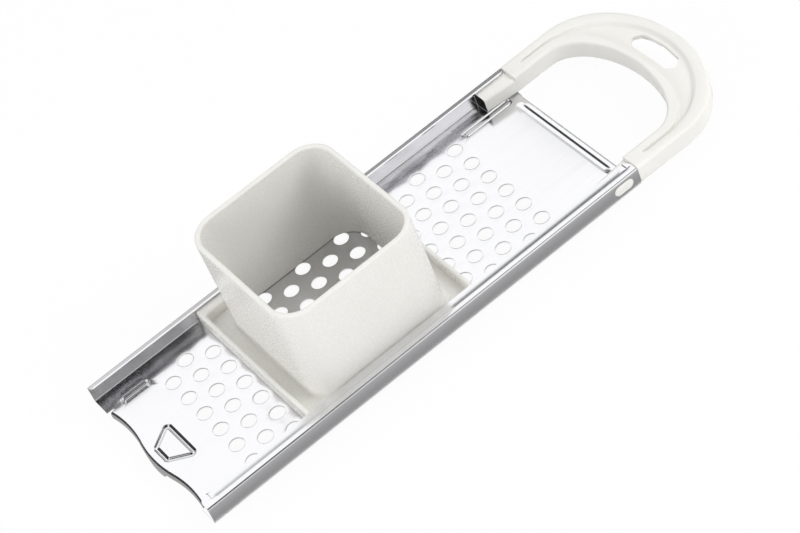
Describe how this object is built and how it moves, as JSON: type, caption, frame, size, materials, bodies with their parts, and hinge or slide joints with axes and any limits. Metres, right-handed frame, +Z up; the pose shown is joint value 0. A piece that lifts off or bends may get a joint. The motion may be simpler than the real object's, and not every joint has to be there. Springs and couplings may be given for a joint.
{
  "type": "sliding spaetzle maker",
  "caption": "Punched steel plate with folded side rails, an open square hopper that slides along them and a loop handle with a hanging hole.",
  "frame": {"origin": "centre of the bounding box's foot: midway between the front flange and the handle's apex, on the centre line, level with the front tongue's tip", "axes": "+X along the slide towards the handle, +Z up through the hopper, +Y towards the rail with the narrow lip"},
  "size_m": [0.3318, 0.1088, 0.0714],
  "materials": {
    "steel": "bright stainless sheet, smooth, lightly rolled along the slide",
    "hopper_plastic": "smooth white moulded plastic",
    "handle_plastic": "smooth white moulded plastic, satin"
  },
  "bodies": {
    "base": {"grater_plate": "steel", "handle": "handle_plastic"},
    "hopper": {"hopper": "hopper_plastic"}
  },
  "joints": [
    {"name": "hopper_slide", "type": "slide", "parent": "base", "child": "hopper", "axis": [1, 0, 0], "range_m": [-0.0634, 0.077]}
  ]
}
